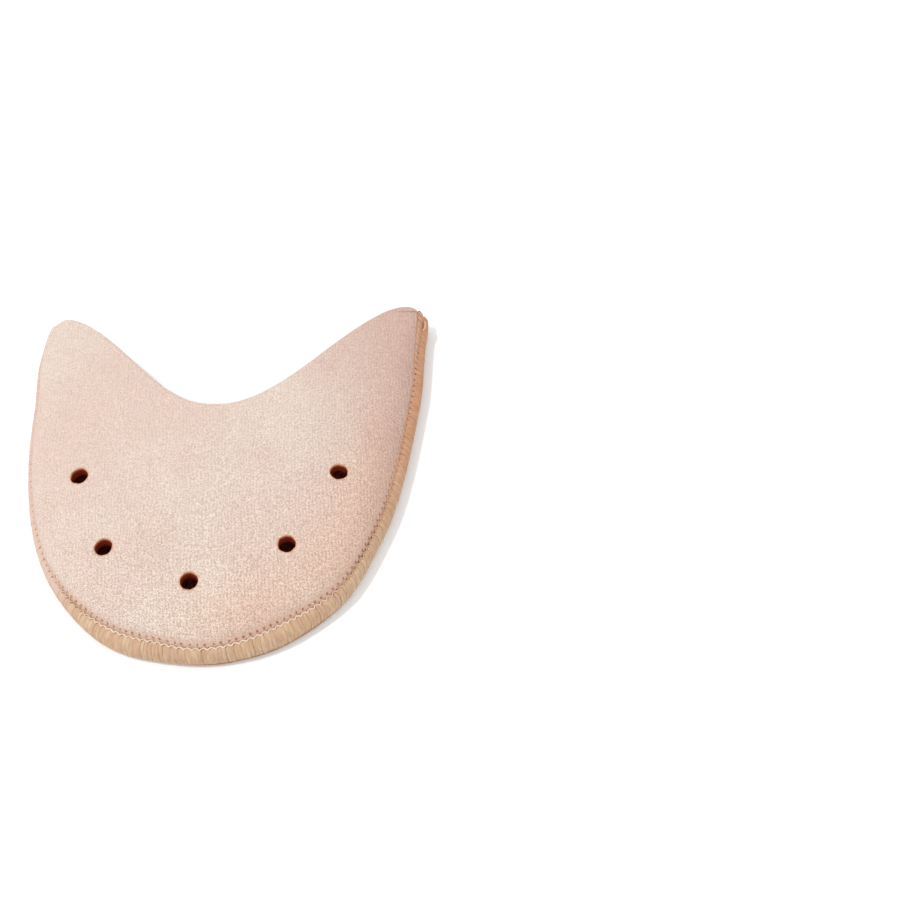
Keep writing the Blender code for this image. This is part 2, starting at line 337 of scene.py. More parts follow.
def plain_plan():
    side = side_curve()
    right_x = side[-1, 0] - EAR_MOUTH_ROUND * EARS["right"]["mouth"]
    left_x = side[0, 0] + EAR_MOUTH_ROUND * EARS["left"]["mouth"]
    x = np.linspace(left_x, right_x, SAMPLES)
    mouth = np.stack([x, mouth_y(x)], axis=1)
    right = corner(side[-1], way(side[-2], side[-1]), mouth[-1], way(mouth[-2], mouth[-1]))
    left = corner(side[0], way(side[1], side[0]), mouth[0], way(mouth[1], mouth[0]))
    middle = len(right) // 2
    return {
        "stitched": np.concatenate([left[middle:0:-1], side, right[1:middle + 1]]),
        "mouth": mouth,
        "left_end": left[middle:],
        "right_end": right[middle:],
    }


PLAIN_PLAN = plain_plan()
PLAN_POINTS = np.concatenate([swept(curve) for curve in PLAIN_PLAN.values()])
MIDDLE = (PLAN_POINTS.min(axis=0) + PLAN_POINTS.max(axis=0)) / 2


def placed(points):
    return swept(points) - MIDDLE


PLAN = {name: placed(curve) for name, curve in PLAIN_PLAN.items()}
STITCHED_LENGTH = arc_lengths(PLAN["stitched"])[-1]
STITCHES = round(STITCHED_LENGTH / STITCH)
STITCH_STEP = STITCHED_LENGTH / STITCHES


def panel_edges():
    stitched = PLAN["stitched"]
    inner = stitched - outward(stitched) * SETBACK
    ends = []
    for name, last in (("left_end", inner[0]), ("right_end", inner[-1])):
        points = PLAN[name]
        fade = 1.0 - smooth_step(np.linspace(0.0, 1.0, len(points)))
        ends.append(points + (last - points[0]) * fade[:, None])
    return inner, PLAN["mouth"], ends[0], ends[1]


PANEL_EDGES = panel_edges()
FREE_EDGE = np.concatenate([PANEL_EDGES[2], PANEL_EDGES[1][1:-1], PANEL_EDGES[3][::-1]])


def patch(u, v):
    """Plan positions inside a panel's four edges, for each column share u and its row shares v."""
    stitched, mouth, left, right = PANEL_EDGES
    near = along(stitched, u)[:, None]
    far = along(mouth, u)[:, None]
    start = along(left, v)
    finish = along(right, v)
    u = u[:, None, None]
    v = v[:, :, None]
    ruled = (1 - v) * near + v * far
    ended = (1 - u) * start + u * finish
    flat = (1 - u) * ((1 - v) * near[0] + v * far[0]) + u * ((1 - v) * near[-1] + v * far[-1])
    return ruled + ended - flat


def panel_points(columns):
    """Plan positions of a panel's grid: rows crowd at the stitches and at the rounded free edge."""
    u = np.linspace(0.0, 1.0, columns + 1)
    trial = np.tile(np.linspace(0.0, 1.0, 90), (len(u), 1))
    tried = patch(u, trial)
    steps = np.linalg.norm(np.diff(tried, axis=1), axis=2)
    lengths = np.concatenate([np.zeros((len(u), 1)), np.cumsum(steps, axis=1)], axis=1)
    rim = PANEL_WALL / 2 * (1.0 - np.cos(np.linspace(0.0, math.pi / 2, 8)))
    fine = np.arange(0.5, 2.5, 0.15) * MM
    wide = np.array([2.7, 3.1, 3.6, 4.3, 5.2, 6.3]) * MM
    near = np.concatenate([rim[:5], fine, wide])
    far = rim[::-1]
    rows = []
    for length, share in zip(lengths, trial):
        total = length[-1]
        squeeze = min(1.0, 0.45 * total / near[-1])
        first = near * squeeze
        last = total - far * min(1.0, 0.3 * total / far[0])
        middle = np.linspace(first[-1], last[0], MIDDLE_ROWS + 2)[1:-1]
        rows.append(np.interp(np.concatenate([first, middle, last]), length, share))
    return patch(u, np.array(rows))


def waves(x, y, seed, shortest, longest, count=14):
    """Soft uneven ripples between -1 and 1: a sum of plane waves with seeded directions."""
    draw = np.random.default_rng(seed)
    total = np.zeros_like(x)
    for _ in range(count):
        turn = draw.uniform(0.0, math.tau)
        length = draw.uniform(shortest, longest)
        phase = draw.uniform(0.0, math.tau)
        total += np.sin(math.tau * (x * math.cos(turn) + y * math.sin(turn)) / length + phase)
    return total / math.sqrt(count) / 1.5


def vent_places():
    spots = [[v["across"] * WIDTH / 2, v["along"] * LENGTH - WIDEST_FROM_TOE] for v in VENTS]
    return placed(np.array(spots))


def wander(lengths, column, table=SEAM_WANDER):
    """A column of a table, smoothed, at given lengths along the stitched edge."""
    even = np.linspace(0.0, 1.0, 401)
    shift = np.interp(even, [row["share"] for row in table], [row[column] for row in table])
    spread = np.exp(-(np.linspace(-2.0, 2.0, 25) ** 2))
    padded = np.pad(shift, 12, mode="edge")
    smooth = np.convolve(padded, spread / spread.sum(), mode="valid")
    return np.interp(lengths / STITCHED_LENGTH, even, smooth)


def panel_measures(points):
    """Where plan points lie: from the stitches, along them, from the free edge, and the wall."""
    from_stitches, foot = nearest(points, PLAN["stitched"])
    from_mouth, _ = nearest(points, PLAN["mouth"])
    from_free, _ = nearest(points, FREE_EDGE)
    from_rim, _ = nearest(points, PANEL_EDGES[0])
    full = smooth_step((from_stitches - LEVEL_STRIP) / SQUEEZE_LENGTH)
    wall = EDGE_WALL + (PANEL_WALL - EDGE_WALL) * full
    return {
        "stitches": from_stitches,
        "seam": from_stitches - wander(foot, "fabric"),
        "foot": foot,
        "mouth": from_mouth,
        "edge": np.minimum(from_free, from_rim),
        "free": from_free,
        "wall": wall,
    }


def needle_dents(m, sharpness):
    """1 at each needle hole and 0 away from it."""
    phase = m["foot"] / STITCH_STEP - 0.5
    off = np.abs(phase - np.round(phase)) * STITCH_STEP
    away = (m["seam"] - NEEDLE_LINE) / sharpness
    sewn = (m["foot"] > STITCH_STEP) & (m["foot"] < STITCHED_LENGTH - STITCH_STEP)
    return sewn * sewn_share(m["foot"]) * np.exp(-(off / sharpness) ** 2 - away ** 2)


def sewn_share(foot):
    """How plainly the stitches show: fully round the toe, and hardly at the two sides."""
    share = foot / STITCHED_LENGTH
    return smooth_step((share - 0.27) / 0.08) * (1.0 - 0.8 * smooth_step((share - 0.72) / 0.16))


def rise_from(inside):
    """Quick roll beside the stitches and slow dome towards the middle."""
    inside = np.clip(inside, 0.0, None)
    roll = ROLL_RISE * (1.0 - np.exp(-inside / ROLL_LENGTH))
    return roll + DOME_RISE * (1.0 - np.exp(-inside / DOME_LENGTH))


def seam_height(seam, sewn):
    """Outer face of the upper panel beside the threads, drawn in along the needle line."""
    groove = SEAM_GROOVE * sewn * np.exp(-(((seam - NEEDLE_LINE) / (0.40 * MM)) ** 2))
    return UPPER_EDGE_Z + rise_from(seam - SEAM_START) - groove


def fabric_top(inset, lengths):
    """Upper panel's outer face beside the threads, with the panel's rounded rim, for the strands."""
    outer = seam_height(inset - wander(lengths, "fabric"), sewn_share(lengths))
    inner = UPPER_EDGE_Z - EDGE_WALL
    into = np.clip((inset - SETBACK) / (EDGE_WALL / 2), 0.0, 1.0)
    return (outer + inner) / 2 + (outer - inner) / 2 * np.sqrt(1.0 - (1.0 - into) ** 2)


def wandered(inset, shift):
    """Inset of the edging on its upper side, moved with the seam but not at the outside."""
    return inset + shift * smooth_step(inset / BAND_REACH)


def upper_outside(points, m):
    """Height of the upper panel's outer face."""
    inside = np.clip(m["seam"] - SEAM_START, 0.0, None)
    droop = MOUTH_DROOP * np.exp(-((m["mouth"] / MOUTH_DROOP_LENGTH) ** 2))
    droop *= 1.0 - np.exp(-inside / ROLL_LENGTH)
    droop *= 2.0 * smooth_step((points[:, 0] + 46 * MM) / (18 * MM)) - 1.0
    ripple = 0.16 * MM * waves(points[:, 0], points[:, 1], 3, 16 * MM, 40 * MM)
    ripple *= smooth_step(inside / (6 * MM))
    pucker = -0.11 * MM * np.cos(math.tau * (m["foot"] / STITCH_STEP - 0.5))
    pucker *= smooth_step(inside / (0.3 * MM)) * np.exp(-inside / (1.1 * MM)) * sewn_share(m["foot"])
    height = seam_height(m["seam"], sewn_share(m["foot"])) - droop + ripple + pucker
    for vent in vent_places():
        away = np.hypot(points[:, 0] - vent[0], points[:, 1] - vent[1]) - VENT_DIAMETER / 2
        height -= 0.2 * MM * np.exp(-(np.clip(away, 0.0, None) / (1.2 * MM)))
    return height - NEEDLE_DENT * needle_dents(m, 0.34 * MM)


def upper_inside(points, m):
    """Height of the upper panel's inner face, which starts to rise later than the outer one."""
    inside = m["stitches"] - LEVEL_STRIP - INNER_SETBACK
    droop = MOUTH_DROOP * np.exp(-((m["mouth"] / MOUTH_DROOP_LENGTH) ** 2))
    droop *= smooth_step(inside / (4 * MM))
    return UPPER_EDGE_Z + rise_from(inside) - droop - m["wall"]


def lower_outside(points, m):
    """Height of the lower panel's underside, which lies flat except at the stitches."""
    inside = m["stitches"] - LEVEL_STRIP
    lift = LOWER_EDGE_Z * (1.0 - smooth_step(inside / LOWER_ROLL))
    return lift + 0.15 * MM * needle_dents(m, 0.42 * MM)


def lower_inside(points, m):
    return lower_outside(points, m) + m["wall"]


def sheet_faces(index, flip):
    a = index[:-1, :-1].ravel()
    b = index[1:, :-1].ravel()
    c = index[1:, 1:].ravel()
    d = index[:-1, 1:].ravel()
    return np.stack([a, d, c, b] if flip else [a, b, c, d], axis=1)


def mesh_object(name, points, faces, material):
    mesh = bpy.data.meshes.new(name)
    mesh.from_pydata(points.tolist(), [], faces)
    mesh.shade_smooth()
    mesh.materials.append(material)
    made = bpy.data.objects.new(name, mesh)
    bpy.context.scene.collection.objects.link(made)
    return made


def panel_object(name, columns, outside, inside, material):
    """A closed padded panel: an outer and an inner sheet that meet in a rounded edge all round."""
    spots = panel_points(columns)
    shape = spots.shape[:2]
    flat = spots.reshape(-1, 2)
    m = panel_measures(flat)
    radius = EDGE_WALL / 2
    bulge = np.sqrt(np.clip(1.0 - (1.0 - np.clip(m["edge"] / radius, 0.0, 1.0)) ** 2, 0.0, 1.0))
    bulge = bulge.reshape(shape)
    bulge[0, :] = bulge[-1, :] = 0.0
    bulge[:, 0] = bulge[:, -1] = 0.0
    outer = outside(flat, m).reshape(shape)
    inner = inside(flat, m).reshape(shape)
    middle = (outer + inner) / 2
    half = (outer - inner) / 2
    face = np.dstack([spots, middle + half * bulge])
    back = np.dstack([spots, middle - half * bulge])
    down = 1 if inner.mean() > outer.mean() else -1
    index = np.arange(shape[0] * shape[1]).reshape(shape)
    back_index = index.copy()
    count = (shape[0] - 2) * (shape[1] - 2)
    back_index[1:-1, 1:-1] = index.size + np.arange(count).reshape(shape[0] - 2, shape[1] - 2)
    points = np.concatenate([face.reshape(-1, 3), back[1:-1, 1:-1].reshape(-1, 3)])
    up_faces = sheet_faces(index, down > 0)
    down_faces = sheet_faces(back_index, down < 0)
    faces = np.concatenate([up_faces, down_faces]).tolist()
    return mesh_object(name, points, faces, material)


def set_attribute(ob, name, values):
    layer = ob.data.attributes.new(name, "FLOAT", "POINT")
    layer.data.foreach_set("value", np.asarray(values, dtype=np.float32))


def coordinates(ob):
    flat = np.empty(len(ob.data.vertices) * 3, dtype=np.float32)
    ob.data.vertices.foreach_get("co", flat)
    return flat.reshape(-1, 3).astype(float)


def mark_panel(ob, outside):
    """Tells the material where a point lies: in the wall, along the seam, by a vent, in a patch."""
    co = coordinates(ob)
    m = panel_measures(co[:, :2])
    depth = np.abs(co[:, 2] - outside(co[:, :2], m)) / m["wall"]
    set_attribute(ob, "depth", np.clip(depth, 0.0, 1.0))
    set_attribute(ob, "from_free", m["free"] / MM)
    set_attribute(ob, "seam", m["seam"] / MM)
    set_attribute(ob, "stitch", m["foot"] / STITCH_STEP)
    set_attribute(ob, "sewn", sewn_share(m["foot"]))
    flush = 0.0
    for patch_at in PATCHES:
        across = (co[:, 0] - patch_at["x"]) / patch_at["wide"]
        up = (co[:, 1] - patch_at["y"]) / patch_at["long"]
        flush = flush + patch_at["pink"] * np.exp(-across ** 2 - up ** 2)
    set_attribute(ob, "flush", flush)
    away = [np.hypot(co[:, 0] - vent[0], co[:, 1] - vent[1]) for vent in vent_places()]
    set_attribute(ob, "from_vent", (np.min(away, axis=0) - VENT_DIAMETER / 2) / MM)


def punch(name, spot):
    """A cutter for one vent, a little uneven as cut fabric is."""
    sides = 56
    turn = np.linspace(0.0, math.tau, sides, endpoint=False)
    seed = abs(int(spot[0] * 1e6)) % 9973
    draw = np.random.default_rng(seed)
    wobble = sum(
        draw.uniform(0.2, 1.0) * np.cos(k * turn + draw.uniform(0.0, math.tau)) for k in (2, 3, 5, 9)
    )
    radius = VENT_DIAMETER / 2 * (0.96 + 0.022 * wobble)
    ring = np.stack([spot[0] + radius * np.cos(turn), spot[1] + radius * np.sin(turn)], axis=1)
    ends = (3.0 * MM, 17.0 * MM)
    points = np.concatenate([np.column_stack([ring, np.full(sides, z)]) for z in ends])
    faces = [[k, (k + 1) % sides, sides + (k + 1) % sides, sides + k] for k in range(sides)]
    faces.append(list(range(sides))[::-1])
    faces.append(list(range(sides, 2 * sides)))
    mesh = bpy.data.meshes.new(name)
    mesh.from_pydata(points.tolist(), [], faces)
    made = bpy.data.objects.new(name, mesh)
    bpy.context.scene.collection.objects.link(made)
    return made


def apply_modifiers(ob):
    bpy.context.view_layer.update()
    graph = bpy.context.evaluated_depsgraph_get()
    mesh = bpy.data.meshes.new_from_object(ob.evaluated_get(graph))
    ob.modifiers.clear()
    ob.data = mesh


def cut_vents(ob):
    for vent, spot in zip(VENTS, vent_places()):
        cutter = punch("punch_" + vent["name"], spot)
        cut = ob.modifiers.new("cut", "BOOLEAN")
        cut.operation = "DIFFERENCE"
        cut.solver = "EXACT"
        cut.object = cutter
        apply_modifiers(ob)
        bpy.data.objects.remove(cutter)


def settle(ob):
    """Moves a piece with the uneven outline, most at the edging, and with the left ear's reach."""
    co = coordinates(ob)
    distance, foot = nearest(co[:, :2], PLAN["stitched"])
    _, side, _ = plan_frame(foot)
    near = 1.0 - smooth_step((distance - NEEDLE_LINE) / UNEVEN_REACH)
    ear = smooth_step((co[:, 1] - EAR_START_Y) / EAR_RAMP_Y)
    ear *= smooth_step((EAR_START_X - co[:, 0]) / EAR_RAMP_X)
    co[:, :2] -= side * (wander(foot, "inwards", UNEVEN_EDGE) * near)[:, None]
    co[:, 1] += LEFT_EAR_STRETCH * ear
    ob.data.vertices.foreach_set("co", co.ravel())
    ob.data.update()


class Shader:
    """A material's node tree, written as nested calls."""

    def __init__(self, name):
        self.material = bpy.data.materials.new(name)
        self.material.use_nodes = True
        self.tree = self.material.node_tree
        self.bsdf = self.tree.nodes["Principled BSDF"]
        self.place = self.node("ShaderNodeTexCoord").outputs["Object"]

    def node(self, kind, **settings):
        made = self.tree.nodes.new(kind)
        for key, value in settings.items():
            setattr(made, key, value)
        return made

    def put(self, socket, value):
        if isinstance(value, bpy.types.NodeSocket):
            self.tree.links.new(value, socket)
        else:
            socket.default_value = value

    def math(self, operation, *values):
        made = self.node("ShaderNodeMath", operation=operation)
        for socket, value in zip(made.inputs, values):
            self.put(socket, value)
        return made.outputs[0]

    def times(self, *values):
        return self.math("MULTIPLY", *values)

    def plus(self, *values):
        return self.math("ADD", *values)

    def minus(self, *values):
        return self.math("SUBTRACT", *values)

    def attribute(self, name):
        return self.node("ShaderNodeAttribute", attribute_name=name).outputs["Fac"]

    def scaled(self, *scale):
        """The place in the object times one scale, or one for each axis."""
        made = self.node("ShaderNodeMapping")
        self.put(made.inputs["Vector"], self.place)
        made.inputs["Scale"].default_value = scale if len(scale) == 3 else scale * 3
        return made.outputs[0]

    def millimetres(self):
        """The place's x, y and z in millimetres."""
        made = self.node("ShaderNodeSeparateXYZ")
        self.put(made.inputs[0], self.scaled(1000))
        return made.outputs

    def noise(self, vector, detail=2.0, roughness=0.5, distortion=0.0):
        made = self.node("ShaderNodeTexNoise")
        self.put(made.inputs["Vector"], vector)
        made.inputs["Scale"].default_value = 1.0
        made.inputs["Detail"].default_value = detail
        made.inputs["Roughness"].default_value = roughness
        made.inputs["Distortion"].default_value = distortion
        return made.outputs["Fac"]

    def ramp(self, value, low, high):
        """0 below low and 1 above high."""
        made = self.node("ShaderNodeMapRange", interpolation_type="SMOOTHSTEP")
        self.put(made.inputs["Value"], value)
        made.inputs["From Min"].default_value = low
        made.inputs["From Max"].default_value = high
        return made.outputs["Result"]

    def mix(self, factor, first, second, blend="MIX"):
        made = self.node("ShaderNodeMix", data_type="RGBA", blend_type=blend)
        self.put(made.inputs[0], factor)
        self.put(made.inputs[6], first)
        self.put(made.inputs[7], second)
        return made.outputs[2]

    def tinted(self, factor, colour, tint):
        """The colour, multiplied by a tint as far as the factor says."""
        return self.mix(factor, colour, self.mix(1.0, colour, tint, "MULTIPLY"))

    def bump(self, height, distance, strength=1.0):
        made = self.node("ShaderNodeBump")
        made.inputs["Strength"].default_value = strength
        made.inputs["Distance"].default_value = distance
        self.put(made.inputs["Height"], height)
        return made.outputs[0]


def knit_height(s):
    """Brushed knit: a short uneven pile with faint wales that run from toe to mouth."""
    bend = s.noise(s.scaled(BEND_NOISE), detail=1.0)
    x = s.plus(s.millimetres()[0], s.times(bend, WALE_BEND))
    wale = s.math("SINE", s.times(x, math.tau / WALE_STEP))
    pile = s.noise(s.scaled(PILE_NOISE), detail=1.0, roughness=0.6, distortion=0.4)
    tuft = s.noise(s.scaled(*TUFT_NOISE), detail=0.0)
    rough = s.plus(s.times(pile, PILE_SHARE), s.times(tuft, TUFT_SHARE))
    return s.plus(rough, s.times(wale, WALE_SHARE))


def needle_dots(s):
    """1 in each needle hole of the seam, computed from the panel's place along and across it."""
    stitch = s.attribute("stitch")
    uneven = s.node("ShaderNodeTexWhiteNoise", noise_dimensions="1D")
    s.put(uneven.inputs["W"], s.math("FLOOR", stitch))
    chance = uneven.outputs["Value"]
    off = s.minus(s.math("FRACT", stitch), 0.5)
    off = s.plus(off, s.times(s.minus(chance, 0.5), HOLE_SHIFT))
    off = s.times(off, STITCH_STEP / MM)
    away = s.times(s.minus(s.attribute("seam"), NEEDLE_LINE / MM), DOT_SLOPE)
    apart = s.math("SQRT", s.plus(s.times(off, off), s.times(away, away)))
    size = s.math("MULTIPLY_ADD", chance, HOLE_SPREAD, HOLE_SIZE)
    return s.times(s.ramp(s.math("DIVIDE", apart, size), 2.1, 0.7), s.attribute("sewn"))


def fabric_material(name, tint, inside_shade, shade_under_vent, sewn):
    """Brushed knit in pinkish beige, with painted dark red shade on the pad's inside, away from the free
    edge.

    seam, from_free and from_vent are in mm, and depth is a share of the wall. sewn adds what only the
    upper panel has: needle holes with painted shade in them, and frayed vents.
    """
    s = Shader(name)
    height = knit_height(s)
    seam = s.attribute("seam")
    depth = s.attribute("depth")
    from_vent = s.attribute("from_vent")
    east, north, _ = s.millimetres()
    cloud = s.noise(s.scaled(CLOUD_NOISE), detail=3.0, roughness=0.55)
    pink = s.plus(cloud, s.times(s.attribute("flush"), 0.45))
    colour = s.mix(s.ramp(pink, 0.34, 0.68), CREAM, PINK)
    # Painted shade: the right side is drawn darker and redder, and there the knit looks coarser
    shaded_right = s.ramp(s.plus(east, s.times(north, 0.25)), 12.0, 52.0)
    colour = s.tinted(shaded_right, colour, RIGHT_SIDE_SHADE)
    coarse = s.ramp(s.minus(s.times(east, 0.6), north), -40.0, 50.0)
    coarse = s.math("MULTIPLY_ADD", coarse, 0.55, 0.55)
    colour = s.tinted(s.times(s.ramp(height, 0.98, 0.66), coarse), colour, SHADE)
    colour = s.tinted(s.times(s.ramp(height, 0.90, 1.25), coarse), colour, GLINT)
    colour = s.mix(1.0, colour, tint, "MULTIPLY")
    front = s.times(s.ramp(seam, 20.0, 4.0), s.attribute("sewn"))
    front = s.times(front, s.ramp(east, -22.0, 8.0))
    colour = s.tinted(front, colour, FRONT_WARM)
    if sewn:
        beside = s.times(s.times(s.ramp(seam, 3.2, 2.2), 0.65), s.attribute("sewn"))
        colour = s.mix(beside, colour, SEAM_PINK)
        # Painted shade: a dark spot in each needle hole
        colour = s.mix(s.times(needle_dots(s), 0.75), colour, NEEDLE_HOLE_SHADE)
        frayed = s.ramp(s.plus(from_vent, s.times(height, 0.25)), 0.62, 0.20)
        colour = s.mix(s.times(frayed, 0.75), colour, CUT_EDGE)
    inside = s.times(s.ramp(s.attribute("from_free"), 1.5, 7.0), s.ramp(seam, 3.0, 4.0))
    colour = s.mix(s.times(s.ramp(depth, 0.01, 0.05), inside), colour, CUT_EDGE)
    # Painted shade: deeper in the wall and on the inner faces, the pad's inside is dark red, less dark by
    # the vents
    deep = s.mix(s.ramp(from_vent, 3.0, 0.5), inside_shade, shade_under_vent)
    colour = s.mix(s.times(s.ramp(depth, 0.12, 0.30), inside), colour, deep)
    s.put(s.bsdf.inputs["Base Color"], colour)
    s.bsdf.inputs["Roughness"].default_value = 0.92
    s.bsdf.inputs["Specular IOR Level"].default_value = 0.1
    s.put(s.bsdf.inputs["Normal"], s.bump(height, KNIT_BUMP))
    return s.material


def thread_material(name, base, others, inner=None, bright=None):
    """Soft textured thread with streaks along each strand and its own hue for every strand.

    others are a lower, a higher and a deep hue, inner is the colour at the needle holes, and
    bright is the colour at the front.
    """
    s = Shader(name)
    low, high, deep = others
    own = s.attribute("strand")
    share = s.attribute("share")
    joined = s.node("ShaderNodeCombineXYZ")
    s.put(joined.inputs[0], s.times(s.attribute("around"), 1.1))
    s.put(joined.inputs[1], s.times(s.attribute("along"), 0.35))
    s.put(joined.inputs[2], s.times(own, 40.0))
    streak = s.noise(joined.outputs[0], detail=3.0, roughness=0.6)
    speck = s.noise(s.scaled(SPECK_NOISE), detail=1.0)
    hue = s.plus(own, s.noise(s.scaled(HUE_NOISE), detail=1.0))
    colour = s.mix(s.times(s.ramp(hue, 1.0, 1.5), 0.7), base, high)
    colour = s.mix(s.times(s.ramp(hue, 1.0, 0.5), 0.7), colour, low)
    colour = s.mix(s.times(s.ramp(streak, 0.62, 0.30), 0.60), colour, deep)
    colour = s.mix(s.times(s.ramp(streak, 0.50, 0.75), 0.50), colour, high)
    colour = s.mix(s.times(s.ramp(speck, 0.45, 0.75), 0.22), colour, high)
    if bright is not None:
        front = s.times(s.ramp(share, 0.35, 0.40), s.ramp(share, 0.66, 0.60))
        colour = s.mix(front, colour, bright)
    rear = s.times(s.ramp(share, 0.66, 0.90), 0.75)
    colour = s.tinted(rear, colour, REAR_TAN)
    worn = s.times(s.ramp(share, 0.37, 0.31), s.ramp(s.millimetres()[2], 3.4, 5.2))
    colour = s.mix(s.times(worn, 0.88), colour, SIDE_PINK)
    if inner is not None:
        colour = s.mix(s.times(s.ramp(s.attribute("inward"), 0.15, 0.85), 0.85), colour, inner)
    s.put(s.bsdf.inputs["Base Color"], colour)
    s.bsdf.inputs["Roughness"].default_value = 0.85
    s.bsdf.inputs["Specular IOR Level"].default_value = 0.25
    rough = s.plus(streak, s.times(speck, 0.6))
    s.put(s.bsdf.inputs["Normal"], s.bump(rough, THREAD_BUMP, 0.7))
    return s.material


def plan_frame(lengths):
    """Point and outward normal of the stitched edge at given lengths along it, past its ends too."""
    line = PLAN["stitched"]
    normal = outward(line)
    at = arc_lengths(line)
    inside = np.clip(lengths, 0.0, at[-1])
    over = (lengths - inside)[..., None]
    point = np.stack([np.interp(inside, at, line[:, k]) for k in range(2)], axis=-1)
    side = np.stack([np.interp(inside, at, normal[:, k]) for k in range(2)], axis=-1)
    side /= np.linalg.norm(side, axis=-1)[..., None]
    tangent = np.stack([-side[..., 1], side[..., 0]], axis=-1)
    return point + tangent * over, side, tangent


def band_section(turn, sunk):
    """Inset and height of the edging's section at an angle from -90 to 90 degrees, sunk inwards."""
    reach = BAND_REACH - sunk
    half = BAND_HEIGHT / 2 - sunk
    inset = BAND_REACH - reach * np.abs(np.cos(turn)) ** (2.0 / BAND_POWER)
    rise = np.sign(turn) * np.abs(np.sin(turn)) ** (2.0 / BAND_POWER)
    return inset, BAND_HEIGHT / 2 + half * rise


def band_object(material):
    """The solid core of the edging, under its threads: a C section with soft ribs."""
    columns = STITCHES * 2
    rows = 18
    outer_sunk = 0.16 * MM
    lengths = np.linspace(0.0, STITCHED_LENGTH, columns + 1)
    turn = np.linspace(-math.pi / 2, math.pi / 2, rows + 1)
    point, side, _ = plan_frame(lengths)
    layers = []
    shift = wander(lengths, "lip")[:, None]
    for sunk in (outer_sunk, BAND_WALL):
        inset, z = band_section(turn, sunk)
        moved = np.where(turn > 0.0, wandered(inset, shift), inset)
        spots = point[:, None] - side[:, None] * moved[..., None]
        height = np.broadcast_to(z, (columns + 1, rows + 1))
        layers.append(np.dstack([spots, height]))
    around = np.concatenate([layers[0], layers[1][:, ::-1]], axis=1)
    count = around.shape[1]
    index = np.arange((columns + 1) * count).reshape(columns + 1, count)
    a = index[:-1].ravel()
    b = index[1:].ravel()
    c = np.roll(index, -1, axis=1)[1:].ravel()
    d = np.roll(index, -1, axis=1)[:-1].ravel()
    faces = np.stack([a, b, c, d], axis=1).tolist()
    faces.append(index[0].tolist())
    faces.append(index[-1][::-1].tolist())
    made = mesh_object("edging_core", around.reshape(-1, 3), faces, material)
    set_attribute(made, "around", np.tile(np.linspace(0.0, 8.0, count), columns + 1))
    set_attribute(made, "along", np.repeat(lengths / MM, count))
    set_attribute(made, "strand", np.zeros(index.size))
    set_attribute(made, "inward", np.zeros(index.size))
    set_attribute(made, "share", np.repeat(lengths / STITCHED_LENGTH, count))
    return made


def tubes(name, centre, wide, high, material):
    """Closed strands. centre, wide and high are (strand, ring, xyz); wide and high are half axes."""
    sides = STRAND_SIDES
    strands, rings = centre.shape[:2]
    turn = np.linspace(0.0, math.tau, sides, endpoint=False)
    points = (
        centre[:, :, None]
        + wide[:, :, None] * np.cos(turn)[None, None, :, None]
        + high[:, :, None] * np.sin(turn)[None, None, :, None]
    )
    index = np.arange(strands * rings * sides).reshape(strands, rings, sides)
    a = index[:, :-1].ravel()
    b = np.roll(index, -1, axis=2)[:, :-1].ravel()
    c = np.roll(index, -1, axis=2)[:, 1:].ravel()
    d = index[:, 1:].ravel()
    tangent = centre[:, 1] - centre[:, 0]
    normal = np.cross(wide[:, 0], high[:, 0])
    forward = np.sum(tangent * normal, axis=1).mean() > 0
    quads = np.stack([a, b, c, d] if forward else [a, d, c, b], axis=1).tolist()
    for strand in range(strands):
        first = index[strand, 0].tolist()
        last = index[strand, -1].tolist()
        quads.append(first[::-1] if forward else first)
        quads.append(last if forward else last[::-1])
    made = mesh_object(name, points.reshape(-1, 3), quads, material)
    steps = np.linalg.norm(np.diff(centre, axis=1, prepend=centre[:, :1]), axis=2)
    lengths = np.cumsum(steps, axis=1)
    set_attribute(made, "along", np.repeat(lengths.ravel() / MM, sides))
    set_attribute(made, "around", np.tile(np.abs(turn - math.pi), strands * rings))
    return made


def leg_profile():
    """Centre line of a thread leg, out of the upper panel, over the edge and into the lower one."""
    lift = LEG_THICKNESS / 2
    start = np.array([LEG_START, LEG_START - 0.12 * MM, LEG_START - 0.24 * MM])
    start_z = np.full(3, BAND_HEIGHT - lift)
    turn = np.radians(np.linspace(90.0, -90.0, 23))
    inset, z = band_section(turn, lift)
    end = np.array([LEVEL_STRIP + 0.1 * MM, NEEDLE_LINE])
    end_z = np.array([0.35 * MM, 0.15 * MM + LOWER_EDGE_Z])
    return np.concatenate([start, inset, end]), np.concatenate([start_z, z, end_z])


